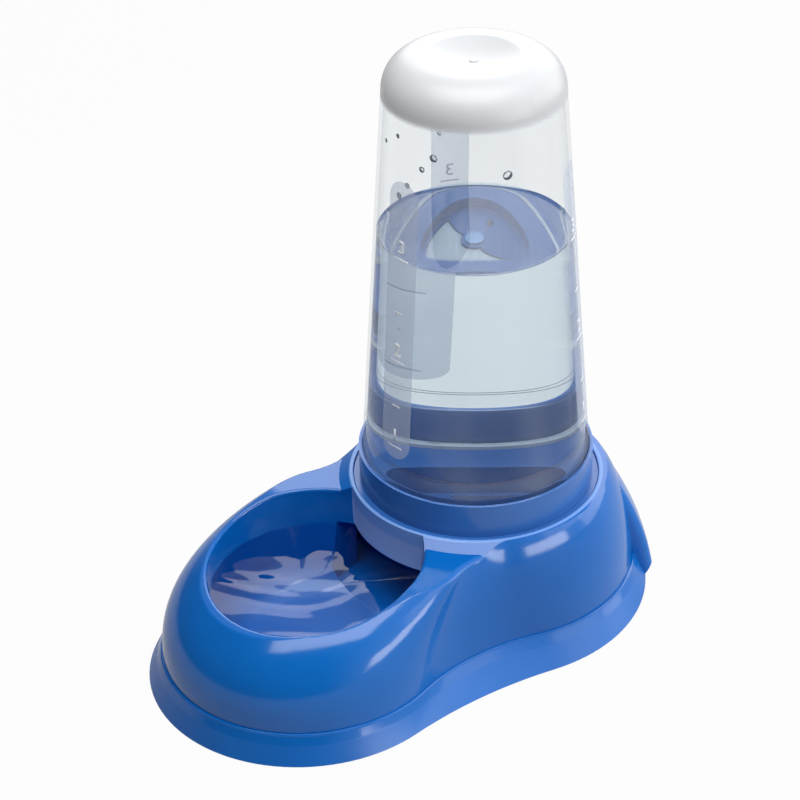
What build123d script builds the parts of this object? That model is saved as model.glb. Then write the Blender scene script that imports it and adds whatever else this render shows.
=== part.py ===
"""Gravity water dispenser for pets: a moulded base with a bowl, and a clear reservoir
that stands upside down in it on a screw cap with a rotary shutter.

Millimetres, +Z up, the bowl towards -Y. The model is drawn round the reservoir's axis and
moved at the end, so that the middle of the footprint lies on the origin.
"""
import os
from math import atan2, cos, degrees, hypot, pi, radians, sin, sqrt

from build123d import *

# Footprint: a peanut outline of two lobes, the bowl's in front and the reservoir's behind
floor_gap = 1.0
skirt_bowl_y = -152.0
skirt_bowl_r = 105.9
skirt_tower_r = 120.0
skirt_waist_r = 320.0
ledge_z = 20.0
ledge_bowl_y = -151.6
ledge_bowl_r = 97.6
ledge_tower_r = 106.0
ledge_tower_y = 7.5
ledge_waist_r = 150.0
ledge_width = 1.8
ledge_edge_r = 1.2
ledge_edge_steps = 3

# Hill above the ledge, up to the bowl's rim and the reservoir's seat
land_z = 87.0
land_waist_r = 42.0
rim_tilt = 0.17
rim_centre_y = -141.0
rim_centre_z = 83.5
roof_bend_r = 60.0
rim_land = 5.6
rim_side_r = 83.0
tower_rim_z = 91.8
tower_rim_r = 87.1
tower_top_r = 88.8
tower_top_y = 2.5
tower_top_lean = 1.6
rim_outer_edge_r = 4.0
rim_inner_edge_r = 2.0
tower_edge_r = 0.8
crest_z = 98.0
bowl_fullness = 2.5
tower_fullness = 2.0
hill_steps = 6
least_step = 1.0
wall = 2.8

# Bowl
bowl_r = 72.8
bowl_foot_r = 66.0
bowl_floor_z = 13.0
bowl_corner_r = 24.0

# Seat and throat under the reservoir
seat_r = 84.6
seat_ledge_thick = 3.0
throat_r = 81.0
curtain_z = 62.0
outlet_half_width = 46.0
chute_front_z = 16.0
chute_slope = 0.24
rib_thick = 2.0
rib_foot_z = 14.0
bowl_rib_count = 7

# Carrying grip at the back: a hood over a finger hollow that is open below
grip_half_angle = 42.0
grip_reach_r = 124.5
grip_lip_z = 9.0
grip_bulge = 3.5
grip_top_r = 98.0
grip_top_z = 78.0
grip_wall = 3.2
grip_edge_r = 5.0
grip_hollow_r = 96.0
grip_hollow_z = 56.0
grip_mouth_r = 60.0
grip_mouth_z = 30.0

# Reservoir
neck_r = 76.6
body_foot_r = 77.4
body_foot_z = 116.5
body_top_r = 59.0
body_top_z = 368.0
crown_z = 400.2
crown_fillet = 22.0
dish_r = 29.0
dish_depth = 4.6
gate_r = 3.0
gate_rise = 0.7
shoulder_rise = 1.5
bottle_wall = 2.0

# Screw cap
cap_r = 80.1
cap_top_z = 114.5
cap_wall = 2.1
flange_r = 84.0
flange_thick = 3.0
flange_sink = 1.6
cap_floor_thick = 2.6
cap_floor_sink = 1.4
seal_thick = 2.5
seal_width = 5.0
spout_r = 42.0
spout_wall = 2.6
port_plate_z = 62.4
port_plate_thick = 2.4

# Rotary shutter under the spout
shutter_thick = 2.4
shutter_gasket_thick = 0.8
shutter_r = 46.0
window_angle = 130.0
window_inner_r = 11.0
window_outer_r = 38.0
drip_hole_r = 4.5
pin_r = 4.0
pin_head_r = 7.5
pin_head_thick = 2.2
blade_thick = 6.0
blade_depth = 8.0
blade_bite = 3.0
blade_drop = 1.0

# Feet
foot_r = 10.0
foot_stem_r = 3.9
foot_head_r = 5.2
foot_stem_rise = 3.0
foot_head_rise = 4.0
foot_tab_thick = 4.0
foot_tab_r = 14.0
foot_turns = {"front": -28.0, "rear": 24.0}

# Clearances
running_gap = 0.05
sliding_gap = 0.4
face_gap = 0.25
foot_gap = 0.7
overlap = 1.0

# Worked out from the sizes above
foot_top_z = 2 * floor_gap
seat_z = tower_rim_z - flange_sink - flange_thick
cap_floor_z = seat_z - cap_floor_sink
mouth_z = cap_floor_z + seal_thick
shutter_z = port_plate_z - face_gap - shutter_gasket_thick - shutter_thick
blade_top_z = port_plate_z - blade_drop


def peanut(front_y, front_r, rear_r, waist_r, z, rear_y=0.0):
    """Outline of two lobes joined by hollow arcs that touch both."""
    front_y -= rear_y
    to_front = front_r + waist_r
    to_rear = rear_r + waist_r
    waist_y = (to_rear**2 - to_front**2 + front_y**2) / (2 * front_y)
    waist_x = sqrt(to_rear**2 - waist_y**2)
    front_turn = atan2(waist_y - front_y, waist_x)
    rear_turn = atan2(waist_y, waist_x)

    def on_front(turn, side=1):
        return (side * front_r * cos(turn), front_y + front_r * sin(turn))

    def on_rear(turn, side=1):
        return (side * rear_r * cos(turn), rear_r * sin(turn))

    def on_waist(turn, side=1):
        return (side * (waist_x - waist_r * cos(turn)), waist_y - waist_r * sin(turn))

    def arc(on, start, end, side):
        return ThreePointArc(on(start, side), on((start + end) / 2, side), on(end, side))

    arcs = []
    for side in (1, -1):
        arcs.append(arc(on_front, -pi / 2, front_turn, side))
        arcs.append(arc(on_waist, front_turn, rear_turn, side))
        arcs.append(arc(on_rear, rear_turn, pi / 2, side))
    return Pos(0, rear_y, z) * make_face(Curve() + arcs)


def swell(z, fullness):
    """Share of the hill's outward swell left at a height: a quarter of a full ellipse."""
    share = (z - ledge_z) / (crest_z - ledge_z)
    return (1 - share**fullness) ** (1 / fullness)


def drawn_in(foot, rim, rim_z, z, fullness):
    """Size at a height, on the full ellipse from its value at the ledge to the one at its rim."""
    return foot - (foot - rim) * (1 - swell(z, fullness)) / (1 - swell(rim_z, fullness))


def hill_outline(z, inset=0.0):
    """Outline of the hill at a height, drawn in by a wall where the inside is wanted."""
    rim_r = bowl_r + rim_land
    rim_front_z = rim_centre_z - rim_tilt * rim_r
    foot_r = ledge_bowl_r - ledge_width
    half_width = drawn_in(foot_r, rim_side_r, rim_centre_z, z, bowl_fullness)
    reach = drawn_in(foot_r - ledge_bowl_y, rim_r - rim_centre_y, rim_front_z, z, bowl_fullness)
    tower = drawn_in(ledge_tower_r - ledge_width, tower_top_r, tower_rim_z, z, tower_fullness)
    share = (z - ledge_z) / (tower_rim_z - ledge_z)
    tower_at = ledge_tower_y + (tower_top_y - ledge_tower_y) * share
    waist = ledge_waist_r + ledge_width + (land_waist_r - ledge_waist_r) * share
    return peanut(half_width - reach, half_width - inset, tower - inset, waist + inset, z, tower_at)


def hill_body(top, inset=0.0):
    """Hill from the ledge up, with its outlines closer together where it curves in."""
    rise = tower_rim_z - ledge_z
    heights = [ledge_z + rise * sin(pi / 2 * step / hill_steps) for step in range(hill_steps)]
    heights = [z for z in heights if z < top - least_step] + [top]
    return loft([hill_outline(z, inset) for z in heights])


def above_roof(drop=0.0):
    """Everything above the bowl's tilted rim and the flat land in front of the tower."""
    bend_y = rim_centre_y + (land_z - rim_centre_z) / rim_tilt
    front_y = skirt_bowl_y - 2 * skirt_bowl_r
    front_z = land_z + (front_y - bend_y) * rim_tilt
    high = 2 * tower_rim_z
    outline = Polyline(
        (front_y, front_z - drop), (bend_y, land_z - drop), (0, land_z - drop), (0, high), (front_y, high),
        close=True
    )
    face = make_face(outline)
    bend = face.vertices().sort_by_distance((bend_y, land_z - drop, 0))[0]
    half_length = 2 * skirt_tower_r
    return Pos(-half_length, 0, 0) * extrude(Plane.YZ * fillet(bend, roof_bend_r), half_length * 2)


def tower_shoulder():
    """Cone that keeps the hill round the tower's rim above the flat land."""
    foot_r = tower_top_r + (tower_rim_z - land_z + rim_land) * tower_top_lean
    rise = foot_r / tower_top_lean / 2
    cone = Cone(foot_r, foot_r / 2, rise, align=(Align.CENTER, Align.CENTER, Align.MIN))
    return Pos(0, tower_top_y, land_z - rim_land) * cone


def disc(r, low, high, y=0.0, x=0.0):
    return Pos(x, y, low) * Cylinder(r, high - low, align=(Align.CENTER, Align.CENTER, Align.MIN))


def bowl_cavity(grow=0.0):
    """Inside of the bowl, or its outer skin: a tapered wall with a rounded foot."""
    floor = bowl_floor_z - grow
    outline = Polyline(
        (0, floor), (bowl_foot_r + grow, floor), (bowl_r + grow, rim_centre_z),
        (bowl_r + grow, 2 * tower_rim_z), (0, 2 * tower_rim_z), close=True
    )
    face = make_face(outline)
    corner = face.vertices().sort_by(Axis.X)[-3:].sort_by(Axis.Y)[0]
    face = fillet(corner, bowl_corner_r + grow)
    return Pos(0, rim_centre_y, 0) * revolve(Plane.XZ * face, Axis.Z)


def above_chute(drop=0.0):
    """Space over the sloping floor that leads from the throat to the bowl."""
    front_y = rim_centre_y
    front_z = chute_front_z + chute_slope * (front_y + throat_r) - drop
    rear_z = chute_front_z + chute_slope * 2 * throat_r - drop
    high = 2 * tower_rim_z
    outline = Polyline((front_y, front_z), (throat_r, rear_z), (2 * throat_r, rear_z), (2 * throat_r, high),
                       (front_y, high), close=True)
    return Pos(-skirt_tower_r, 0, 0) * extrude(Plane.YZ * make_face(outline), 2 * skirt_tower_r)


def outlet_box(grow=0.0):
    """Way from the throat to the bowl, under the curtain."""
    front_y = -throat_r - (chute_front_z - bowl_floor_z) / chute_slope
    length = abs(front_y) - outlet_half_width
    size = (2 * (outlet_half_width + grow), length, curtain_z + grow)
    return Pos(0, front_y, 0) * Box(*size, align=(Align.CENTER, Align.MIN, Align.MIN))


def foot_places():
    """Centres of the four feet, each close inside the skirt."""
    places = {}
    share = (foot_top_z + foot_tab_thick + foot_head_rise) / ledge_z
    for end, turn in foot_turns.items():
        centre_y = skirt_bowl_y if end == "front" else 0
        low_r = skirt_bowl_r if end == "front" else skirt_tower_r
        high_r = (ledge_bowl_r if end == "front" else ledge_tower_r) - ledge_width
        head_reach = low_r + (high_r - low_r) * share - foot_head_r
        reach = min(head_reach, low_r - foot_r) - wall - foot_gap
        for side, sign in (("right", 1), ("left", -1)):
            x = sign * reach * cos(radians(turn))
            places[f"{end}_{side}"] = (x, centre_y + reach * sin(radians(turn)))
    return places


def grip_profile(inset=0.0):
    """Outer line of the grip hood, an arc from its lip up to the tower's shoulder."""
    lip_r = grip_reach_r - inset
    top_r = grip_top_r - inset
    top_z = grip_top_z - inset
    share = grip_bulge / hypot(lip_r - top_r, top_z - grip_lip_z)
    middle_r = (lip_r + top_r) / 2 + share * (top_z - grip_lip_z)
    middle_z = (grip_lip_z + top_z) / 2 + share * (lip_r - top_r)
    return ThreePointArc((lip_r, grip_lip_z), (middle_r, middle_z), (top_r, top_z))


def grip_ends(solid):
    """Curved edges along the two sides of the grip."""
    return [e for e in solid.edges() if e.geom_type == GeomType.CIRCLE and abs((e @ 0).Z - (e @ 1).Z) > ledge_z]


def grip_hood():
    arc = grip_profile()
    inner_r = throat_r + wall
    foot_r = skirt_tower_r - face_gap
    back = Polyline((grip_top_r, grip_top_z), (inner_r, grip_top_z), (inner_r, floor_gap), (foot_r, floor_gap),
                    (grip_reach_r, grip_lip_z))
    face = Plane.XZ * make_face(Curve() + [arc, *back.edges()])
    hood = Rot(0, 0, 90 - grip_half_angle) * revolve(face, Axis.Z, 2 * grip_half_angle)
    return fillet(grip_ends(hood), grip_edge_r)


def grip_hollow(grow=0.0):
    """Finger hollow under the hood, or its skin when grown inwards."""
    side = degrees(grip_wall / grip_reach_r)
    half_angle = grip_half_angle - side + degrees(grow / grip_reach_r)
    arc = grip_profile(grip_wall)
    low = -floor_gap
    top_r = grip_top_r - grip_wall
    top_z = grip_top_z - grip_wall
    lip_r = grip_reach_r - grip_wall
    foot_r = skirt_tower_r - grip_wall
    back = Polyline((top_r, top_z), (top_r, low), (foot_r, low), (lip_r, grip_lip_z))
    face = Plane.XZ * make_face(Curve() + [arc, *back.edges()])
    under = Rot(0, 0, 90 - half_angle) * revolve(face, Axis.Z, 2 * half_angle)
    under = fillet(grip_ends(under), grip_edge_r - grip_wall)
    keep = disc(grip_hollow_r - grow, low, 2 * tower_rim_z)
    lid = disc(2 * grip_reach_r, grip_hollow_z + grow, 2 * tower_rim_z)
    return under - keep - lid


def grip_mouth():
    """Arch through the hood's back wall, where the fingers go in."""
    drum = Rot(90, 0, 0) * Cylinder(grip_mouth_r, grip_reach_r, align=(Align.CENTER, Align.CENTER, Align.MAX))
    arch = Pos(0, grip_hollow_r + grip_wall, grip_mouth_z - grip_mouth_r) * drum
    return arch - disc(grip_hollow_r + grip_wall, -grip_reach_r, grip_reach_r)


def ribs():
    """Stiffening webs under the base, round the bowl and round the throat."""
    webs = []
    for step in range(bowl_rib_count):
        turn = -180 + 180 * step / (bowl_rib_count - 1)
        web = Box(skirt_bowl_r, rib_thick, land_z, align=(Align.MIN, Align.CENTER, Align.MIN))
        webs.append(Pos(0, rim_centre_y, rib_foot_z) * Rot(0, 0, turn) * web)
    for turn in (0, 180):
        web = Box(skirt_tower_r - throat_r, rib_thick, land_z, align=(Align.MIN, Align.CENTER, Align.MIN))
        webs.append(Rot(0, 0, turn) * Pos(throat_r, 0, rib_foot_z) * web)
    return webs


def ledge_edge():
    """Outlines round the skirt's upper edge, drawn in step by step along a quarter circle."""
    outlines = []
    for step in range(ledge_edge_steps + 1):
        turn = pi / 2 * step / ledge_edge_steps
        inset = ledge_edge_r * (1 - cos(turn))
        z = ledge_z - ledge_edge_r * (1 - sin(turn))
        radii = (ledge_bowl_r - inset, ledge_tower_r - inset, ledge_waist_r + inset)
        outlines.append(peanut(ledge_bowl_y, *radii, z, ledge_tower_y))
    return outlines


def roof_edges(shell, inner):
    """Edges of the bowl's tilted rim and the land behind it: the bowl's own, or the outer ones."""
    chosen = []
    for edge in shell.edges():
        points = [edge @ share for share in (0, 0.5, 1)]
        heights = [min(land_z, rim_centre_z + (p.Y - rim_centre_y) * rim_tilt) for p in points]
        if max(abs(p.Z - z) for p, z in zip(points, heights)) > 2 * sliding_gap:
            continue
        round_bowl = abs(hypot(points[1].X, points[1].Y - rim_centre_y) - bowl_r) < rim_land / 4
        if inner and round_bowl and edge.geom_type != GeomType.LINE:
            chosen.append(edge)
        if not inner and not round_bowl and edge.geom_type == GeomType.BSPLINE:
            chosen.append(edge)
    return chosen


def seat_edges(shell):
    """Upper edge of the reservoir's seat."""
    rings = [e for e in shell.edges() if e.geom_type == GeomType.CIRCLE and abs((e @ 0).Z - tower_rim_z) < overlap]
    return [e for e in rings if abs(e.radius - seat_r) < running_gap]


def base_shell():
    skirt_low = peanut(skirt_bowl_y, skirt_bowl_r, skirt_tower_r, skirt_waist_r, floor_gap)
    skirt = loft([skirt_low, *ledge_edge()], ruled=True)
    hill = hill_body(tower_rim_z) - (above_roof() - tower_shoulder())
    outer = skirt + hill + grip_hood()

    # Hollow underside, one wall inside the skirt and the hill
    inner_low = peanut(skirt_bowl_y, skirt_bowl_r - wall, skirt_tower_r - wall, skirt_waist_r + wall, 0)
    skirt_room = loft([inner_low, hill_outline(ledge_z, wall)], ruled=True)
    hill_room = hill_body(tower_rim_z - wall, wall) - above_roof(wall)
    room = skirt_room + hill_room

    # Skins that stand in the hollow: bowl, throat, outlet, grip, foot tabs and ribs
    throat_room_r = tower_rim_r - wall
    room -= bowl_cavity(wall)
    room -= disc(tower_rim_r, 0, tower_rim_z) & above_chute(wall)
    room -= outlet_box(wall) & above_chute(wall)
    room -= grip_hollow(wall)
    for x, y in foot_places().values():
        room -= disc(foot_tab_r, foot_top_z, foot_top_z + foot_tab_thick, y, x)
    for web in ribs():
        room -= web

    # Openings
    bowl = bowl_cavity() - disc(tower_rim_r, curtain_z, 2 * tower_rim_z)
    throat = disc(throat_room_r, 0, seat_z - seat_ledge_thick) + disc(throat_r, 0, tower_rim_z)
    throat = (throat & above_chute()) + disc(seat_r, seat_z, 2 * tower_rim_z)
    outlet = outlet_box() & above_chute()
    shell = outer - room - bowl - throat - outlet - grip_hollow() - grip_mouth()
    for x, y in foot_places().values():
        shell -= disc(foot_stem_r + running_gap, 0, foot_top_z + foot_tab_thick + floor_gap, y, x)

    # Blades that hold the shutter still while the cap turns
    for side in (1, -1):
        x = side * (shutter_r - blade_bite + blade_depth / 2)
        blade = Box(blade_depth, blade_thick, blade_top_z, align=(Align.CENTER, Align.CENTER, Align.MIN))
        shell += Pos(x, 0, 0) * blade & above_chute(wall / 2)

    # Rounded edges of the bowl's rim and of the seat
    shell = fillet(roof_edges(shell, inner=False), rim_outer_edge_r)
    shell = fillet(roof_edges(shell, inner=True), rim_inner_edge_r)
    return fillet(seat_edges(shell), tower_edge_r)


def reservoir():
    """Clear bottle, mouth down: a straight neck, a tapered body and a domed crown."""
    def skin(inset, foot):
        lean = (body_foot_r - body_top_r) / (body_top_z - body_foot_z)
        crown_r = body_top_r - lean * (crown_z - body_top_z) - inset
        top = crown_z - inset
        side = Polyline(
            (0, foot), (neck_r - inset, foot), (neck_r - inset, body_foot_z - shoulder_rise),
            (body_foot_r - inset, body_foot_z), (crown_r, top), (dish_r, top)
        )
        dish_radius = (dish_r**2 + dish_depth**2) / (2 * dish_depth)
        middle_z = top - dish_depth + dish_radius - sqrt(dish_radius**2 - (dish_r / 2) ** 2)
        dish = ThreePointArc((dish_r, top), (dish_r / 2, middle_z), (0, top - dish_depth))
        face = make_face(Curve() + [*side.edges(), dish, Line((0, top - dish_depth), (0, foot))])
        corner = max(face.vertices(), key=lambda v: v.X + v.Y)
        return fillet(corner, crown_fillet - inset)
    outer = revolve(Plane.XZ * skin(0, mouth_z), Axis.Z)
    inner = revolve(Plane.XZ * skin(bottle_wall, mouth_z - overlap), Axis.Z)
    dish_z = crown_z - dish_depth
    return outer - inner + disc(gate_r, dish_z - bottle_wall / 2, dish_z + gate_rise)


def reservoir_seal():
    bore = disc(neck_r - seal_width, cap_floor_z - overlap, mouth_z + overlap)
    return disc(neck_r, cap_floor_z, mouth_z) - bore


def window(low, high):
    """Sector window of the port plate, the shutter and its gasket."""
    ring = disc(window_outer_r, low, high) - disc(window_inner_r, low - overlap, high + overlap)
    reach = 2 * window_outer_r
    half = radians(window_angle / 2)
    wedge = Polyline((0, 0), (reach * sin(half), reach * cos(half)), (0, 2 * reach),
                     (-reach * sin(half), reach * cos(half)), close=True)
    return ring & (Pos(0, 0, low) * extrude(make_face(wedge), high - low))


def screw_cap():
    low = cap_floor_z - cap_floor_thick
    bore_r = cap_r - cap_wall
    guide_r = throat_r - sliding_gap
    spout_out = spout_r + spout_wall
    cap = disc(guide_r, low, seat_z + overlap)
    cap += disc(flange_r, seat_z, seat_z + flange_thick)
    cap += disc(cap_r, seat_z, cap_top_z)
    cap += disc(spout_out, port_plate_z, cap_floor_z)
    cap -= disc(bore_r, cap_floor_z, cap_top_z + overlap)
    cap -= disc(spout_r, port_plate_z + port_plate_thick, cap_floor_z + overlap)
    cap -= disc(pin_r + running_gap, 0, cap_floor_z)
    cap -= window(port_plate_z - overlap, cap_floor_z)
    cap -= disc(drip_hole_r, 0, cap_floor_z, -(window_inner_r + window_outer_r) / 2)
    return cap


def shutter_blank(r, low, high):
    plate = disc(r, low, high) - disc(pin_r + running_gap, low - overlap, high + overlap)
    plate -= Rot(0, 0, 180) * window(low - overlap, high + overlap)
    for side in (1, -1):
        x = side * (shutter_r - blade_bite + blade_depth / 2)
        notch = Box(blade_depth + 2 * sliding_gap, blade_thick + 2 * sliding_gap, 2 * (high - low))
        plate -= Pos(x, 0, (low + high) / 2) * notch
    return plate


def shutter():
    return shutter_blank(shutter_r, shutter_z, shutter_z + shutter_thick)


def shutter_gasket():
    low = shutter_z + shutter_thick
    return shutter_blank(shutter_r, low, low + shutter_gasket_thick)


def shutter_pin():
    head_z = port_plate_z + port_plate_thick + face_gap
    pin = disc(pin_r, shutter_z - pin_head_thick, head_z)
    pin += disc(pin_head_r, shutter_z - pin_head_thick, shutter_z)
    pin += disc(pin_head_r, head_z, head_z + pin_head_thick)
    return pin


def foot(x, y):
    """Push-in rubber foot: a disc under the tab, a stem through it and a head above."""
    tab_top = foot_top_z + foot_tab_thick
    pad = disc(foot_r, 0, foot_top_z, y, x) + disc(foot_stem_r, 0, tab_top + foot_stem_rise, y, x)
    head = Cone(foot_head_r, foot_stem_r / 2, foot_head_rise, align=(Align.CENTER, Align.CENTER, Align.MIN))
    return pad + Pos(x, y, tab_top) * head


pieces = {
    "base_shell": base_shell(),
    "reservoir": reservoir(),
    "reservoir_seal": reservoir_seal(),
    "screw_cap": screw_cap(),
    "shutter": shutter(),
    "shutter_gasket": shutter_gasket(),
    "shutter_pin": shutter_pin(),
}
for name, (x, y) in foot_places().items():
    pieces[f"foot_{name}"] = foot(x, y)

# The reservoir's axis goes behind the origin, with the base's middle on it
tower_y = -pieces["base_shell"].bounding_box().center().Y
os.makedirs("parts", exist_ok=True)
for name, solid in pieces.items():
    export_step(Pos(0, tower_y, 0) * solid, f"parts/{name}.step")
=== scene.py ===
from math import cos, pi, radians, sin, tau

import bpy
import numpy as np
from mathutils import Matrix, Vector


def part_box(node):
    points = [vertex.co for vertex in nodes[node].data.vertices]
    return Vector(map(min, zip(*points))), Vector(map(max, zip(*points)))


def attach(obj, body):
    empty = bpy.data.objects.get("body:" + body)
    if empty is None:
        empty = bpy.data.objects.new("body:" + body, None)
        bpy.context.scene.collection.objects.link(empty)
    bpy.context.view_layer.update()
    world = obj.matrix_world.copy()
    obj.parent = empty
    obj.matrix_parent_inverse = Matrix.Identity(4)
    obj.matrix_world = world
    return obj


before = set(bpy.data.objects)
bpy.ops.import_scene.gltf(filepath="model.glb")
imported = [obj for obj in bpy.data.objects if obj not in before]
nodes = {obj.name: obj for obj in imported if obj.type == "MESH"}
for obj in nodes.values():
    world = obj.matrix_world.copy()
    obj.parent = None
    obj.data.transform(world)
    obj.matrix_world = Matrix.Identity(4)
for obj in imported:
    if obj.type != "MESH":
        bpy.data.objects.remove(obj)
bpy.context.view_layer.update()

bottleLow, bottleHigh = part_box("reservoir")
towerY = (bottleLow[1] + bottleHigh[1]) / 2    # the reservoir's axis stands at x = 0
mm = 0.001
print("stage: frame loaded")


# Camera: the photograph's place and lens, as an orbit round a point on the reservoir's axis

cameraSettings = {
    "azimuth": 51.46, "elevation": 32.65, "roll": -1.49, "distance": 1520.9,
    "sideways": -51.0, "height": 148.3, "lens": 101.146, "sensor": 36, "clipEnd": 50,
}


def direction(turn, rise):
    # Unit vector from a turn round Z, which is 0 at the front, and a rise above the floor, in degrees
    turn, rise = radians(turn), radians(rise)
    return Vector((sin(turn) * cos(rise), -cos(turn) * cos(rise), sin(rise)))


def placeCamera(settings):
    back = direction(settings["azimuth"], settings["elevation"])
    right = (-back).cross(Vector((0, 0, 1))).normalized()
    up = right.cross(-back)
    turn = Matrix.Rotation(radians(settings["roll"]), 3, back)
    place = (back * settings["distance"] + right * settings["sideways"]) * mm
    place += Vector((0, towerY, settings["height"] * mm))
    data = bpy.data.cameras.new("photoCamera")
    data.sensor_width = settings["sensor"]
    data.lens = settings["lens"]
    data.clip_end = settings["clipEnd"]
    camera = bpy.data.objects.new("photoCamera", data)
    axes = Matrix((turn @ right, turn @ up, back)).transposed()
    camera.matrix_world = Matrix.Translation(place) @ axes.to_4x4()
    bpy.context.scene.collection.objects.link(camera)
    bpy.context.scene.camera = camera


placeCamera(cameraSettings)
bpy.context.scene.view_settings.view_transform = "Standard"
print("stage: camera placed")


# Shader maths

class Wire:
    # An output of a node: sums, differences and products of wires and numbers add Math nodes
    def __init__(self, work, socket):
        self.work = work
        self.socket = socket

    def math(self, operation, first, second=0.0):
        return self.work.node("ShaderNodeMath", {"operation": operation}, {0: first, 1: second})

    def __add__(self, other):
        return self.math("ADD", self, other)

    def __radd__(self, other):
        return self.math("ADD", other, self)

    def __sub__(self, other):
        return self.math("SUBTRACT", self, other)

    def __rsub__(self, other):
        return self.math("SUBTRACT", other, self)

    def __mul__(self, other):
        return self.math("MULTIPLY", self, other)

    def __rmul__(self, other):
        return self.math("MULTIPLY", other, self)

    def most(self, other):
        return self.math("MAXIMUM", self, other)

    def rise(self, low, high):
        # 0 below low, 1 above high, with a soft step between
        values = {"Value": self, "From Min": low, "From Max": high}
        return self.work.node("ShaderNodeMapRange", {"interpolation_type": "SMOOTHSTEP"}, values)

    def band(self, middle, half, soft):
        # 1 within half of the middle, falling to 0 over the next soft
        low = self.rise(middle - half - soft, middle - half)
        return low * (1 - self.rise(middle + half, middle + half + soft))


class NodeWork:
    # A node tree in the making, for a material or the world
    def __init__(self, owner):
        self.owner = owner
        owner.use_nodes = True
        self.tree = owner.node_tree
        self.tree.nodes.clear()

    def node(self, kind, settings=None, values=None, out=0):
        # The one way to a node: settings go first, then the sockets' values and links
        made = self.tree.nodes.new(kind)
        for name, setting in (settings or {}).items():
            setattr(made, name, setting)
        for name, value in (values or {}).items():
            socket = made.inputs[name]
            if isinstance(value, Wire):
                self.tree.links.new(value.socket, socket)
            elif socket.type == "RGBA":
                socket.default_value = (*value, 1)
            else:
                socket.default_value = value
        return Wire(self, made.outputs[out]) if made.outputs else made

    def point(self):
        # Object coordinates in metres
        return self.node("ShaderNodeTexCoord", out="Object")

    def axis(self, name, vector=None):
        return self.node("ShaderNodeSeparateXYZ", {}, {"Vector": vector or self.point()}, out=name)

    def noise(self, scale, detail=2.0, roughness=0.5, stretch=(1, 1, 1)):
        # Cloudy values round 0.5; a stretch below 1 draws them out along that axis
        place = self.node("ShaderNodeMapping", {}, {"Vector": self.point(), "Scale": stretch})
        values = {"Vector": place, "Scale": scale, "Detail": detail, "Roughness": roughness}
        return self.node("ShaderNodeTexNoise", {}, values)

    def mixColour(self, share, low, high):
        return self.node("ShaderNodeMix", {"data_type": "RGBA"}, {0: share, 6: low, 7: high}, out=2)

    def mixVector(self, share, low, high):
        return self.node("ShaderNodeMix", {"data_type": "VECTOR"}, {0: share, 4: low, 5: high}, out=1)

    def vectorMath(self, operation, first, second=(0, 0, 0), out=0):
        return self.node("ShaderNodeVectorMath", {"operation": operation}, {0: first, 1: second}, out=out)

    def bump(self, height, strength, distance, normal=None):
        values = {"Height": height, "Strength": strength, "Distance": distance}
        if normal:
            values["Normal"] = normal
        return self.node("ShaderNodeBump", {}, values)

    def facing(self, blend):
        # 0 where the surface faces the eye, 1 at its edge
        return self.node("ShaderNodeLayerWeight", {}, {"Blend": blend}, out="Facing")

    def transparent(self, colour):
        return self.node("ShaderNodeBsdfTransparent", {}, {"Color": colour})

    def glossy(self, values):
        return self.node("ShaderNodeBsdfGlossy", {}, {"Color": (1, 1, 1), **values})

    def principled(self, values):
        return self.node("ShaderNodeBsdfPrincipled", {}, values)

    def mixShader(self, share, low, high):
        return self.node("ShaderNodeMixShader", {}, {0: share, 1: low, 2: high})

    def rays(self, *names):
        # 1 for rays of the named kinds, 0 for the rest
        found = None
        for name in names:
            one = self.node("ShaderNodeLightPath", {}, {}, out=f"Is {name} Ray")
            found = found.most(one) if found else one
        return found

    def finish(self, shader, kind="ShaderNodeOutputMaterial"):
        self.node(kind, {}, {"Surface": shader})
        return self.owner


def newFinish(name):
    return NodeWork(bpy.data.materials.new(name))


# Moulded plastics: each noise is a scale, a detail, a roughness and a stretch

plasticSettings = {
    "base": {"low": (0.0012, 0.098, 0.39), "high": (0.0018, 0.125, 0.47), "roughness": 0.13},
    "cap": {"low": (0.030, 0.125, 0.40), "high": (0.036, 0.145, 0.45), "roughness": 0.22},
    "inner": {"low": (0.10, 0.24, 0.50), "high": (0.13, 0.28, 0.56), "roughness": 0.28},
    "ior": 1.49, "cloud": (7.0, 3.0), "cloudStep": (0.3, 0.7), "cloudRough": 0.05,
    "peel": (190.0, 2.0, 0.55), "peelHeight": 0.5,
    "grain": (1500.0, 3.0, 0.7), "grainRough": 0.06, "grainHeight": 0.06,
    "scratch": (38.0, 2.0, 0.6, (1, 14, 3)), "scratchStep": (0.70, 0.78), "scratchRough": 0.04,
    "scratchDepth": 0.08, "strength": 0.05, "distance": 0.0006,
}
# The seat's and the curtain's colours below are a painted sheen; the cap's inside colour is a painted shade
toneSettings = {
    "seat": (0.17, 0.33, 0.70), "seatR": (0.0872, 0.0880), "seatZ": (0.055, 0.066), "seatRough": 0.42,
    "curtain": (0.30, 0.44, 0.76), "curtainZ": (0.078, 0.084),
    "skirtZ": (0.0125, 0.0145), "skirtRough": 0.36,
    "capInsidePaintedShade": (0.010, 0.080, 0.29), "capInsideR": (0.0790, 0.0796),
}


def fromAxis(make):
    # Level vector to a point from the reservoir's axis: (x, y - towerY, 0)
    moved = make.vectorMath("SUBTRACT", make.point(), (0, towerY, 0))
    return make.vectorMath("MULTIPLY", moved, (1, 1, 0))


def axisDistance(make):
    return make.vectorMath("LENGTH", fromAxis(make), out="Value")


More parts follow.
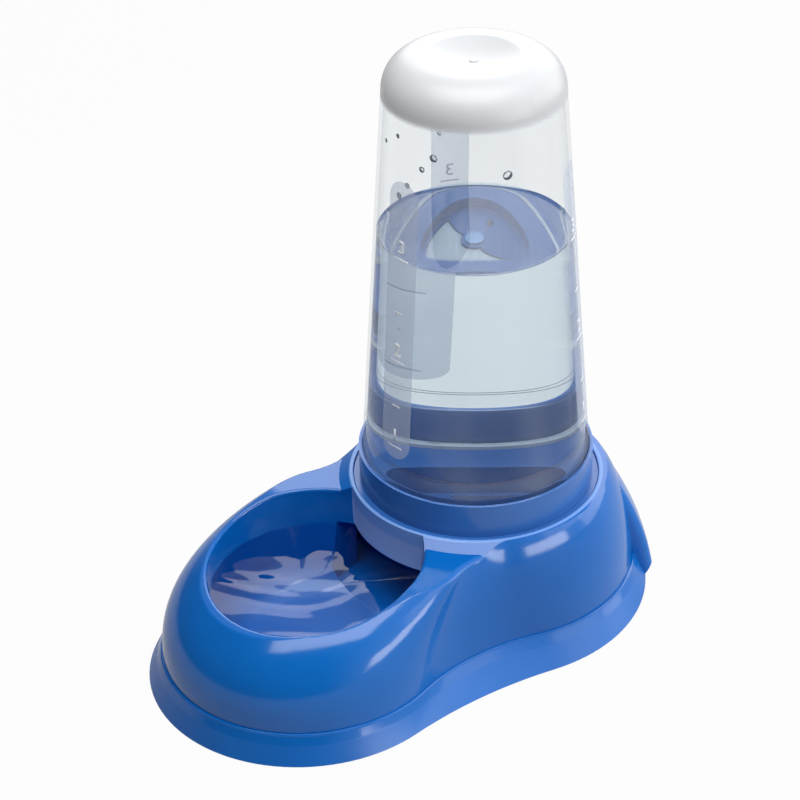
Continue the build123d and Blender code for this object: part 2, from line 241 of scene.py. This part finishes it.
def mouldedPlastic(name, colours, tone=None):
    # Shot plastic: a faint cloudiness in its colour, uneven gloss, a fine orange peel and a few hairlines;
    # a tone function changes the colour and adds to the roughness from place to place
    make = newFinish(name)
    settings = plasticSettings
    cloud = make.noise(*settings["cloud"])
    peel = make.noise(*settings["peel"])
    grain = make.noise(*settings["grain"])
    scratch = make.noise(*settings["scratch"]).rise(*settings["scratchStep"])
    colour = make.mixColour(cloud.rise(*settings["cloudStep"]), colours["low"], colours["high"])
    rough = colours["roughness"] + (grain - 0.5) * settings["grainRough"]
    rough = rough + (cloud - 0.5) * settings["cloudRough"] + scratch * settings["scratchRough"]
    if tone:
        colour, duller = tone(make, colour, colours["roughness"])
        rough = rough + duller
    height = peel * settings["peelHeight"] + grain * settings["grainHeight"]
    height = height - scratch * settings["scratchDepth"]
    return make.finish(make.principled({
        "Base Color": colour, "Roughness": rough, "IOR": settings["ior"],
        "Normal": make.bump(height, settings["strength"], settings["distance"]),
    }))


def basePaintedSheenTone(make, colour, roughness):
    # Painted sheen: the seat and the curtain below it are painted paler than the polished hill, as a sheen of
    # reflected light, and are duller; the skirt is duller too
    settings = toneSettings
    height = make.axis("Z")
    seat = (1 - axisDistance(make).rise(*settings["seatR"])) * height.rise(*settings["seatZ"])
    curtain = seat * (1 - height.rise(*settings["curtainZ"]))
    skirt = 1 - height.rise(*settings["skirtZ"])
    # Painted sheen: paler colour over the seat and the curtain
    colour = make.mixColour(seat, colour, settings["seat"])
    colour = make.mixColour(curtain, colour, settings["curtain"])
    return colour, seat * (settings["seatRough"] - roughness) + skirt * (settings["skirtRough"] - roughness)


def capPaintedShadeTone(make, colour, roughness):
    # Painted shade: the cap's inside, which is wet, is painted deeper than its outside as shade, and is as
    # smooth
    inside = 1 - axisDistance(make).rise(*toneSettings["capInsideR"])
    return make.mixColour(inside, colour, toneSettings["capInsidePaintedShade"]), 0.0


# Rubbers

rubberSettings = {
    "seal": {"low": (0.30, 0.36, 0.44), "high": (0.36, 0.42, 0.50), "roughness": 0.5},
    "foot": {"low": (0.010, 0.010, 0.012), "high": (0.028, 0.028, 0.031), "roughness": 0.62},
    "speckle": (900.0, 4.0, 0.7), "speckleShare": 0.6, "speckleRough": 0.2,
    "dust": (55.0, 3.0), "dustShare": 0.4, "strength": 0.25, "distance": 0.0003,
}


def softRubber(name, colours):
    # Rubber: matt, with a dusty speckle and a fine skin
    make = newFinish(name)
    settings = rubberSettings
    speckle = make.noise(*settings["speckle"])
    dust = make.noise(*settings["dust"])
    share = speckle * settings["speckleShare"] + dust * settings["dustShare"]
    return make.finish(make.principled({
        "Base Color": make.mixColour(share, colours["low"], colours["high"]),
        "Roughness": colours["roughness"] + (speckle - 0.5) * settings["speckleRough"],
        "Normal": make.bump(speckle, settings["strength"], settings["distance"]),
    }))


def paint(node, material):
    for slot in node.material_slots:
        slot.material = material
    if not node.material_slots:
        node.data.materials.append(material)


finishes = {
    "base": mouldedPlastic("basePlastic", plasticSettings["base"], basePaintedSheenTone),
    "cap": mouldedPlastic("capPlastic", plasticSettings["cap"], capPaintedShadeTone),
    "inner": mouldedPlastic("innerPlastic", plasticSettings["inner"]),
    "seal": softRubber("sealRubber", rubberSettings["seal"]),
    "foot": softRubber("footRubber", rubberSettings["foot"]),
}
nodeFinish = {
    "base_shell": "base", "screw_cap": "cap", "shutter": "inner", "shutter_pin": "inner",
    "shutter_gasket": "seal", "reservoir_seal": "seal", "foot_front_left": "foot",
    "foot_front_right": "foot", "foot_rear_left": "foot", "foot_rear_right": "foot",
}
for nodeName, finishName in nodeFinish.items():
    paint(nodes[nodeName], finishes[finishName])


# Clear bottle: see-through wall, frosted over its crown, with a dark line painted as shade where a moulded
# step stands near the mouth.
# The shape is in millimetres, the settings are in metres

bottleShape = {
    "mouthZ": 88.5, "footR": 77.4, "footZ": 116.5, "topR": 59.0, "topZ": 368.0, "wall": 2.0, "neckR": 76.6,
}
bottleLean = (bottleShape["footR"] - bottleShape["topR"]) / (bottleShape["topZ"] - bottleShape["footZ"])
bottleSettings = {
    "haze": (0.60, 0.64, 0.68), "tint": (0.962, 0.970, 0.974), "ior": 1.5, "roughness": 0.05,
    "clearShare": 0.022, "crownZ": (0.3755, 0.377), "turnedStep": (0.5, 0.8),
    "frostZ": (0.3715, 0.3765), "frostShare": 0.86, "frostColour": (0.50, 0.512, 0.53), "frostRough": 0.30,
    "sway": (14.0, 2.0), "swayShift": 0.0015, "fine": (260.0, 3.0, 0.6), "fineRough": 0.03,
    "fineHeight": 0.3, "strength": 0.04, "distance": 0.0008,
    "streak": (26.0, 1.0, 0.5, (1, 1, 0.06)), "streakStep": (0.42, 0.66), "streakShare": 0.040,
    # The step's colour is a painted shade: a dark line where the moulded step bends light away
    "step": (0.1292, 0.00015, 0.0004), "stepPaintedShade": (0.03, 0.035, 0.11), "stepShare": 0.62,
    "foot": (0.1235, 0.0050, 0.0006), "footShare": 0.03,
    "edgeBlend": 0.5, "edgeStep": (0.55, 1.0), "edgeShare": 0.16,
}


def bottleRadius(height):
    # Outer radius at a height, all in millimetres: a straight taper from the foot to the top
    return bottleShape["topR"] - bottleLean * (height - bottleShape["topZ"])


def turnedNormal(make, settings):
    # Normal of the taper at a point, (x, y - towerY, radius * lean), turned to the side that the face is on;
    # the crown and faces that lie askew to the taper keep their own
    flat = fromAxis(make)
    lift = make.vectorMath("LENGTH", flat, out="Value") * bottleLean
    lift = make.node("ShaderNodeCombineXYZ", {}, {"Z": lift})
    outward = make.vectorMath("NORMALIZE", make.vectorMath("ADD", flat, lift))
    turned = make.node("ShaderNodeVectorTransform", {
        "vector_type": "NORMAL", "convert_from": "OBJECT", "convert_to": "WORLD",
    }, {"Vector": outward})
    face = make.node("ShaderNodeNewGeometry", {}, {}, out="Normal")
    side = make.vectorMath("DOT_PRODUCT", turned, face, out="Value")
    sign = side.math("SIGN", side)
    signs = make.node("ShaderNodeCombineXYZ", {}, {"X": sign, "Y": sign, "Z": sign})
    crown = make.axis("Z").rise(*settings["crownZ"])
    askew = 1 - (side * side).rise(*settings["turnedStep"])
    return make.mixVector(crown.most(askew), make.vectorMath("MULTIPLY", turned, signs), face)


def clearBottle(settings):
    # Light passes straight on, under a gloss that grows at the edges, drawn-out streaks, the crown's frost and
    # a dark line of painted shade at the step
    make = newFinish("clearBottle")
    height = make.axis("Z")
    sway = make.noise(*settings["sway"])
    fine = make.noise(*settings["fine"])
    streak = make.noise(*settings["streak"]).rise(*settings["streakStep"])
    frost = (height + (sway - 0.5) * settings["swayShift"]).rise(*settings["frostZ"])
    step = height.band(*settings["step"])
    foot = height.band(*settings["foot"])
    edge = make.facing(settings["edgeBlend"]).rise(*settings["edgeStep"])
    colour = make.mixColour(frost, settings["haze"], settings["frostColour"])
    # Painted shade: a dark line at the step
    colour = make.mixColour(step, colour, settings["stepPaintedShade"])
    relief = fine * settings["fineHeight"] + sway
    gloss = make.principled({
        "Base Color": colour, "IOR": settings["ior"],
        "Roughness": settings["roughness"] + frost * settings["frostRough"] + fine * settings["fineRough"],
        "Normal": make.bump(relief, settings["strength"], settings["distance"], turnedNormal(make, settings)),
    })
    share = settings["clearShare"] + edge * settings["edgeShare"] + streak * settings["streakShare"]
    share = share + foot * settings["footShare"] + step * settings["stepShare"]
    share = share * (1 - frost) + frost * settings["frostShare"]
    return make.finish(make.mixShader(share, make.transparent(settings["tint"]), gloss))


paint(nodes["reservoir"], clearBottle(bottleSettings))
print("stage: plastics done")


# Meshes from numpy arrays

def newPiece(name, points, faces, material, body, sharp=None):
    # Smooth faces, with creases kept past the sharp angle in degrees
    mesh = bpy.data.meshes.new(name)
    mesh.from_pydata(np.asarray(points).reshape(-1, 3).tolist(), [], faces)
    mesh.update()
    mesh.polygons.foreach_set("use_smooth", np.ones(len(mesh.polygons), dtype=bool))
    if sharp:
        mesh.set_sharp_from_angle(angle=radians(sharp))
    piece = bpy.data.objects.new(name, mesh)
    piece.data.materials.append(material)
    bpy.context.scene.collection.objects.link(piece)
    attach(piece, body)
    return piece


def gridFaces(rows, columns, closed=False, offset=0):
    # Quads between neighbours of a rows by columns grid, round and back to the first column if closed
    steps = np.arange(columns if closed else columns - 1)
    row, column = np.meshgrid(np.arange(rows - 1), steps, indexing="ij")
    first, second = row * columns + column, row * columns + (column + 1) % columns
    quads = np.stack([first, second, second + columns, first + columns], axis=-1).reshape(-1, 4)
    return (quads + offset).tolist()


def fanFaces(pole, ring, columns, inward=False):
    # Triangles from a pole to the ring of points that starts at a place in the list
    near = ring + np.arange(columns)
    after = ring + (np.arange(columns) + 1) % columns
    pair = (after, near) if inward else (near, after)
    return np.stack([np.full(columns, pole), *pair], axis=-1).tolist()


def lathePiece(name, profile, steps, material, body, sharp):
    # Profile of radius and height turned round the reservoir's axis; its two ends are poles on the axis
    radius, height = np.array(profile, dtype=float).T * mm
    turn = np.linspace(0, tau, steps, endpoint=False)
    ring = np.stack([
        radius[1:-1, None] * np.cos(turn), radius[1:-1, None] * np.sin(turn) + towerY,
        np.repeat(height[1:-1, None], steps, axis=1),
    ], axis=-1).reshape(-1, 3)
    points = np.vstack([ring, [(0, towerY, height[0]), (0, towerY, height[-1])]])
    rings = len(radius) - 2
    faces = gridFaces(rings, steps, closed=True)
    faces += fanFaces(rings * steps, 0, steps, inward=True)
    faces += fanFaces(rings * steps + 1, (rings - 1) * steps, steps)
    return newPiece(name, points, faces, material, body, sharp)


# Water in the reservoir, in millimetres

columnSettings = {
    "level": 278.0, "gap": 0.06, "rows": 14, "steps": 200, "sharp": 30,
    "spoutZ": 64.5, "spoutR": 42.3, "floorZ": 85.5, "floorR": 72.0, "mouthZ": 88.1, "shoulderZ": 115.0,
    "climb": [(0.0, 1.1), (0.8, 0.495), (2.2, 0.132), (4.5, 0.0)],
    "tint": (0.80, 0.885, 0.925), "ior": 1.36, "sway": (16.0, 2.0), "strength": 0.03, "distance": 0.002,
}


def columnFinish(settings):
    # Clear water that bends light
    make = newFinish("columnWater")
    return make.finish(make.principled({
        "Base Color": settings["tint"], "Roughness": 0.0, "IOR": settings["ior"], "Transmission Weight": 1.0,
        "Normal": make.bump(make.noise(*settings["sway"]), settings["strength"], settings["distance"]),
    }))


def columnProfile(settings):
    # Water from the port plate up through the spout and the neck to its level, edged by a small climb.
    # It reaches 0.3 into the blue plastic that it wets, with no air between them to mirror the light
    inside = bottleShape["wall"] + settings["gap"]
    neck = bottleShape["neckR"] - inside
    level = settings["level"]
    side = [(bottleRadius(z) - inside, z) for z in np.linspace(bottleShape["footZ"], level, settings["rows"])]
    edge = side[-1][0]
    return [
        (0, settings["spoutZ"]), (settings["spoutR"], settings["spoutZ"]),
        (settings["spoutR"], settings["floorZ"]), (settings["floorR"], settings["floorZ"]),
        (settings["floorR"], settings["mouthZ"]), (neck, settings["mouthZ"]), (neck, settings["shoulderZ"]),
        *side, *[(edge - inward, level + rise) for inward, rise in settings["climb"]],
        (edge * 0.5, level), (0, level),
    ]


columnWater = lathePiece("reservoirWater", columnProfile(columnSettings), columnSettings["steps"],
                         columnFinish(columnSettings), "reservoir", columnSettings["sharp"])
for clearPiece in (nodes["reservoir"], columnWater):
    # Light falls straight through clear walls and water, so that the blue plastic in them is lit
    clearPiece.visible_shadow = False
    clearPiece.visible_diffuse = False


# Water in the bowl, in millimetres: each wave is a height, its change along x and along y, and a start

bowlSettings = {
    "level": 60.0, "centreY": -141.0, "bowlR": 70.4, "throatR": 80.8, "mouthHalf": 33, "rings": 90,
    "columns": 300, "calm": 8, "bendX": (11, 0.055, 0.7), "bendY": (9, 0.062, 1.9),
    "waves": [(0.62, 0.085, 0.030, 1.1), (0.50, 0.040, 0.098, 0.4), (0.30, 0.150, -0.060, 2.0),
              (0.20, 0.110, 0.175, 0.9), (0.10, 0.270, -0.210, 3.1), (0.07, -0.330, 0.260, 0.2)],
    "tint": (0.86, 0.93, 0.97), "ior": 1.36, "fine": (30.0, 2.0), "strength": 0.05, "distance": 0.002,
    "roughness": 0.02,
}


def bowlFinish(settings):
    # Water seen from above: a clear tint with a mirror that grows towards the edge of sight
    make = newFinish("bowlWater")
    normal = make.bump(make.noise(*settings["fine"]), settings["strength"], settings["distance"])
    mirror = make.glossy({"Roughness": settings["roughness"], "Normal": normal})
    share = make.node("ShaderNodeFresnel", {}, {"IOR": settings["ior"], "Normal": normal})
    return make.finish(make.mixShader(share, make.transparent(settings["tint"]), mirror))


def bowlWater(settings):
    # Rings round the bowl's middle, each a share of the reach to the bowl's or the throat's wall at its
    # angle; the height is a sum of sines of x and y, themselves bent by sines, calm at the edge
    bowlY, throatR = settings["centreY"], settings["throatR"]
    turn = np.linspace(0, tau, settings["columns"], endpoint=False)
    off = np.abs(np.angle(np.exp(1j * (turn - pi / 2))))
    chord = np.sqrt(np.clip(throatR**2 - (bowlY * np.sin(off))**2, 0, None))
    inMouth = off < radians(settings["mouthHalf"])
    reach = np.where(inMouth, -bowlY * np.cos(off) + chord, settings["bowlR"])
    share = np.linspace(0, 1, settings["rings"])[1:, None]
    x = share * reach * np.cos(turn)
    y = share * reach * np.sin(turn) + bowlY
    bentX = x + settings["bendX"][0] * np.sin(y * settings["bendX"][1] + settings["bendX"][2])
    bentY = y + settings["bendY"][0] * np.sin(x * settings["bendY"][1] + settings["bendY"][2])
    height = sum(size * np.sin(bentX * alongX + bentY * alongY + start)
                 for size, alongX, alongY, start in settings["waves"])
    z = settings["level"] + height * (1 - share**settings["calm"])
    ring = np.stack([x * mm, y * mm + towerY, z * mm], axis=-1).reshape(-1, 3)
    middle = [(0, bowlY * mm + towerY, float(z[0].mean()) * mm)]
    quads = [face[::-1] for face in gridFaces(len(share), len(turn), closed=True)]
    faces = quads + fanFaces(len(ring), 0, len(turn))
    return newPiece("bowlWater", np.vstack([ring, middle]), faces, bowlFinish(settings), "base")


bowlWater(bowlSettings)


# Drops that hang inside the bottle above the water: each place is x, y and z in millimetres and a radius

dropSettings = {
    "places": [(27.0, -52.1, 371.7, 1.3), (24.2, -54.8, 354.8, 2.6), (56.9, -21.3, 344.3, 3.1),
               (-5.7, -59.2, 360.8, 1.6), (5.6, -61.4, 331.5, 1.9), (-21.5, -56.2, 351.3, 1.5),
               (16.0, -56.0, 345.6, 2.0), (-2.0, -60.6, 322.0, 2.4)],
    "gap": 0.03, "flatness": 0.45, "rings": 10, "columns": 28,
    "clear": (0.97, 0.98, 0.985), "ring": (0.08, 0.09, 0.11), "blend": 0.42, "ringStep": (0.16, 0.40),
    "shimmer": (500.0, 1.0), "shimmerRough": 0.03, "roughness": 0.04,
    "shineShare": 0.06, "shineStep": (0.5, 1.0), "edgeShine": 0.2,
}


def dropFinish(settings):
    # A drop as a lens: clear in the middle, dark where it bends light away near its edge
    make = newFinish("dropWater")
    edge = make.facing(settings["blend"])
    dark = edge.rise(*settings["ringStep"])
    lens = make.mixShader(dark, make.transparent(settings["clear"]), make.transparent(settings["ring"]))
    rough = settings["roughness"] + make.noise(*settings["shimmer"]) * settings["shimmerRough"]
    shine = settings["shineShare"] + edge.rise(*settings["shineStep"]) * settings["edgeShine"]
    return make.finish(make.mixShader(shine, lens, make.glossy({"Roughness": rough})))


def hangDrops(settings):
    # Half spheres pressed flat against the wall: each point is centre + across * cos + up * sin + in * bulge.
    # A fan closes the tip and another closes the side on the wall
    lift = np.linspace(pi / 2, 0, settings["rings"])[1:, None, None]
    turn = np.linspace(0, tau, settings["columns"], endpoint=False)
    points, faces, start = [], [], 0
    for x, y, z, size in settings["places"]:
        about = np.arctan2(x, -y)
        inward = np.array([-np.sin(about), np.cos(about), 0])
        across = np.array([np.cos(about), np.sin(about), 0])
        wall = bottleRadius(z) - bottleShape["wall"] - settings["gap"]
        centre = np.array([0, towerY / mm, z]) - inward * wall
        around = np.cos(turn)[:, None] * across + np.sin(turn)[:, None] * (0, 0, 1)
        bulge = size * settings["flatness"] * inward
        ring = (centre + size * np.cos(lift) * around + np.sin(lift) * bulge).reshape(-1, 3)
        points.append(np.vstack([ring, centre + bulge, centre]) * mm)
        faces += gridFaces(len(lift), len(turn), closed=True, offset=start)
        faces += fanFaces(start + len(ring), start, len(turn), inward=True)
        faces += fanFaces(start + len(ring) + 1, start + len(ring) - len(turn), len(turn))
        start += len(points[-1])
    return newPiece("wallDrops", np.vstack(points), faces, dropFinish(settings), "reservoir")


hangDrops(dropSettings)
print("stage: water poured")


# Level windows: three frosted films on the bottle with ticks and plain numbers at each litre, in millimetres

levelSettings = {
    "turns": [4.0, 124.0, 244.0], "low": 136.0, "high": 334.0, "halfWidth": 13.0, "proud": 0.06,
    "endTurn": -88.5, "endRows": 24, "runRows": 28, "columns": 15, "thick": 0.04,
    "ink": 0.12, "tickLong": 13.0, "tickShort": 7.0, "tickHigh": 1.1, "tickColumns": 9,
    "digit": 13.0, "digitLift": 8.06, "digitSteps": 6, "stroke": 0.15, "halfLitres": range(2, 7),
    "film": (0.60, 0.66, 0.78), "filmShare": 0.27, "white": (0.93, 0.95, 0.97), "whiteShare": 0.9,
    "cloud": (60.0, 3.0), "cloudStep": (0.3, 0.7), "cloudShade": 0.94, "cloudShare": 0.06,
    "fine": (700.0, 3.0, 0.6), "roughness": 0.42, "fineRough": 0.12, "strength": 0.06, "distance": 0.0002,
    "through": (0.96, 0.97, 0.98),
}


def filmFinish(name, colour, share, settings):
    # A frosted skin that lets part of the light through, a little uneven in tone and in cover
    make = newFinish(name)
    cloud = make.noise(*settings["cloud"])
    fine = make.noise(*settings["fine"])
    shade = tuple(part * settings["cloudShade"] for part in colour)
    surface = make.principled({
        "Base Color": make.mixColour(cloud.rise(*settings["cloudStep"]), shade, colour),
        "Roughness": settings["roughness"] + (fine - 0.5) * settings["fineRough"],
        "Normal": make.bump(fine, settings["strength"], settings["distance"]),
    })
    cover = share + (cloud - 0.5) * settings["cloudShare"]
    return make.finish(make.mixShader(cover, make.transparent(settings["through"]), surface))


def onBottle(turn, across, height, proud):
    # A flat drawing laid round the bottle: across is a length along the wall, from the turn in degrees
    radius = bottleRadius(height) + proud
    about = radians(turn) + across / radius
    return np.stack([radius * np.sin(about) * mm, -radius * np.cos(about) * mm + towerY, height * mm], axis=-1)


def wallSkin(name, points, faces, material, thick):
    # A drawing on the wall becomes a closed skin, its outer face left where it is
    piece = newPiece(name, np.vstack(points), faces, material, "reservoir")
    skin = piece.modifiers.new("skin", "SOLIDIFY")
    skin.thickness, skin.offset = thick * mm, -1
    return piece


def layFilms(settings):
    # Each film is a long pill of rows across it: full width on the straight run, the cosine of the climb at
    # its ends, which stop just short of a point
    half = settings["halfWidth"]
    climb = np.radians(np.linspace(settings["endTurn"], 0, settings["endRows"]))
    end = half * (1 + np.sin(climb))
    run = np.linspace(settings["low"] + half, settings["high"] - half, settings["runRows"] + 2)[1:-1]
    height = np.concatenate([settings["low"] + end, run, settings["high"] - end[::-1]])[:, None]
    width = half * np.concatenate([np.cos(climb), np.ones(len(run)), np.cos(climb[::-1])])[:, None]
    side = np.linspace(-1, 1, settings["columns"])
    points, faces = [], []
    for place, turn in enumerate(settings["turns"]):
        points.append(onBottle(turn, width * side, height + 0 * side, settings["proud"]).reshape(-1, 3))
        faces += gridFaces(len(height), len(side), offset=place * len(points[0]))
    film = filmFinish("levelFilm", settings["film"], settings["filmShare"], settings)
    return wallSkin("levelWindows", points, faces, film, settings["thick"])


def litreHeights(halfLitres):
    # Heights at which the standing bottle holds a number of half litres: its volume is the sum of its slices
    height = np.linspace(bottleShape["mouthZ"], bottleShape["topZ"], 600)
    radius = np.minimum(bottleRadius(height), bottleShape["footR"]) - bottleShape["wall"]
    litres = np.cumsum(pi * radius**2) * (height[1] - height[0]) / 1e6
    return {half: float(np.interp(half / 2, litres, height)) for half in halfLitres}


def tickPatch(turn, height, long, settings):
    # A strip of two rows, tickHigh apart, laid round the bottle with its middle at the turn and height
    half = settings["tickHigh"] / 2
    across, rise = np.meshgrid(np.linspace(-long / 2, long / 2, settings["tickColumns"]), [-half, half])
    return onBottle(turn, across, height + rise, settings["ink"]).reshape(-1, 3)


def digitPatch(text, turn, height, settings):
    # A digit's flat outline made a mesh, then laid round the bottle with its middle at the turn and height
    curve = bpy.data.curves.new("digit", "FONT")
    curve.body, curve.size, curve.offset = text, settings["digit"], settings["stroke"]
    curve.align_x, curve.align_y, curve.resolution_u = "CENTER", "CENTER", settings["digitSteps"]
    letter = bpy.data.objects.new("digit", curve)
    bpy.context.scene.collection.objects.link(letter)
    bpy.context.view_layer.update()
    mesh = bpy.data.meshes.new_from_object(letter.evaluated_get(bpy.context.evaluated_depsgraph_get()))
    flat = np.empty(len(mesh.vertices) * 3)
    mesh.vertices.foreach_get("co", flat)
    flat = flat.reshape(-1, 3)
    faces = [tuple(face.vertices) for face in mesh.polygons]
    bpy.data.objects.remove(letter)
    bpy.data.meshes.remove(mesh)
    bpy.data.curves.remove(curve)
    return onBottle(turn, flat[:, 0], height + flat[:, 1], settings["ink"]), faces


def printLevels(settings):
    # On each film a short tick at each half litre, and a long tick under a number at each whole one
    points, faces, count = [], [], 0
    for turn in settings["turns"]:
        for half, height in litreHeights(settings["halfLitres"]).items():
            whole = half % 2 == 0
            patch = tickPatch(turn, height, settings["tickLong" if whole else "tickShort"], settings)
            patches = [(patch, gridFaces(2, settings["tickColumns"]))]
            if whole:
                patches.append(digitPatch(str(half // 2), turn, height + settings["digitLift"], settings))
            for patch, patchFaces in patches:
                faces += [tuple(corner + count for corner in face) for face in patchFaces]
                points.append(patch)
                count += len(patch)
    ink = filmFinish("levelInk", settings["white"], settings["whiteShare"], settings)
    return wallSkin("levelMarks", points, faces, ink, settings["thick"])


layFilms(levelSettings)
printLevels(levelSettings)
print("stage: level windows laid")


# Stage: pale floor, soft lights and a pale surround, in metres

stageSettings = {
    "floorHalf": 12.0, "floorLow": (0.42, 0.42, 0.43), "floorHigh": (0.46, 0.46, 0.47), "cloud": (3.0, 2.0),
    "floorRough": 0.8, "cloudRough": 0.1, "floorSpecular": 0.1, "floorGlow": 0.955, "glossShare": 0.25,
    "frontDim": 0.08, "backBright": 1.0, "backLean": 0.25, "backStep": (-0.35, 0.45), "surround": 0.5,
    "aim": (0, towerY * 0.3, 0.12),
    "lights": {
        "top": {"turn": 35, "rise": 78, "away": 1.3, "wide": 1.24, "high": 1.0, "radiance": 5.2},
        "strip": {"turn": 103, "rise": 6.5, "away": 1.6, "wide": 1.0, "high": 0.36, "radiance": 6.5},
        "backLeft": {"turn": -140, "rise": 26, "away": 1.6, "wide": 1.5, "high": 0.7, "radiance": 2.4},
        "right": {"turn": 122, "rise": 25, "away": 1.5, "wide": 0.9, "high": 0.7, "radiance": 1.2},
        "backRight": {"turn": 160, "rise": 14, "away": 1.6, "wide": 1.3, "high": 0.9, "radiance": 2.0},
    },
}


def layFloor(settings):
    # White where it is looked at straight or through glass, grey in gloss and plain for the rest
    half = settings["floorHalf"]
    mesh = bpy.data.meshes.new("floor")
    corners = [(-half, -half, 0), (half, -half, 0), (half, half, 0), (-half, half, 0)]
    mesh.from_pydata(corners, [], [(0, 1, 2, 3)])
    floor = bpy.data.objects.new("floor", mesh)
    bpy.context.scene.collection.objects.link(floor)
    make = newFinish("floorFinish")
    cloud = make.noise(*settings["cloud"])
    matt = make.principled({
        "Base Color": make.mixColour(cloud, settings["floorLow"], settings["floorHigh"]),
        "Roughness": settings["floorRough"] + (cloud - 0.5) * settings["cloudRough"],
        "Specular IOR Level": settings["floorSpecular"],
    })
    glow = make.node("ShaderNodeEmission", {}, {"Color": (1, 1, 1), "Strength": 1.0})
    seen = make.rays("Camera", "Transmission") * settings["floorGlow"]
    seen = seen.most(make.rays("Glossy") * settings["glossShare"])
    mesh.materials.append(make.finish(make.mixShader(seen, matt, glow)))


def hangLights(settings):
    # Each lamp's power is its radiance times pi and its area
    for name, light in settings["lights"].items():
        data = bpy.data.lights.new(name, "AREA")
        data.shape = "RECTANGLE"
        data.size, data.size_y = light["wide"], light["high"]
        data.energy = light["radiance"] * pi * light["wide"] * light["high"]
        lamp = bpy.data.objects.new(name, data)
        away = direction(light["turn"], light["rise"]) * light["away"]
        lamp.location = Vector(settings["aim"]) + away
        lamp.rotation_euler = away.to_track_quat("Z", "Y").to_euler()
        lamp.visible_camera = False
        bpy.context.scene.collection.objects.link(lamp)


def paleSurround(settings):
    # White to the eye and through glass; in gloss it dims towards the front, as a studio does behind a camera
    make = NodeWork(bpy.data.worlds.new("surround"))
    way = make.node("ShaderNodeTexCoord", out="Generated")
    back = make.axis("Y", way) + make.axis("X", way) * settings["backLean"]
    back = back.rise(*settings["backStep"])
    gloss = settings["frontDim"] + back * (settings["backBright"] - settings["frontDim"])
    seen = make.rays("Camera", "Transmission")
    glossy = make.rays("Glossy")
    plain = gloss * (glossy + (1 - glossy) * settings["surround"])
    strength = seen + (1 - seen) * plain
    glow = make.node("ShaderNodeBackground", {}, {"Color": (1, 1, 1), "Strength": strength})
    bpy.context.scene.world = make.finish(glow, "ShaderNodeOutputWorld")


layFloor(stageSettings)
hangLights(stageSettings)
paleSurround(stageSettings)
print("stage: lights hung")
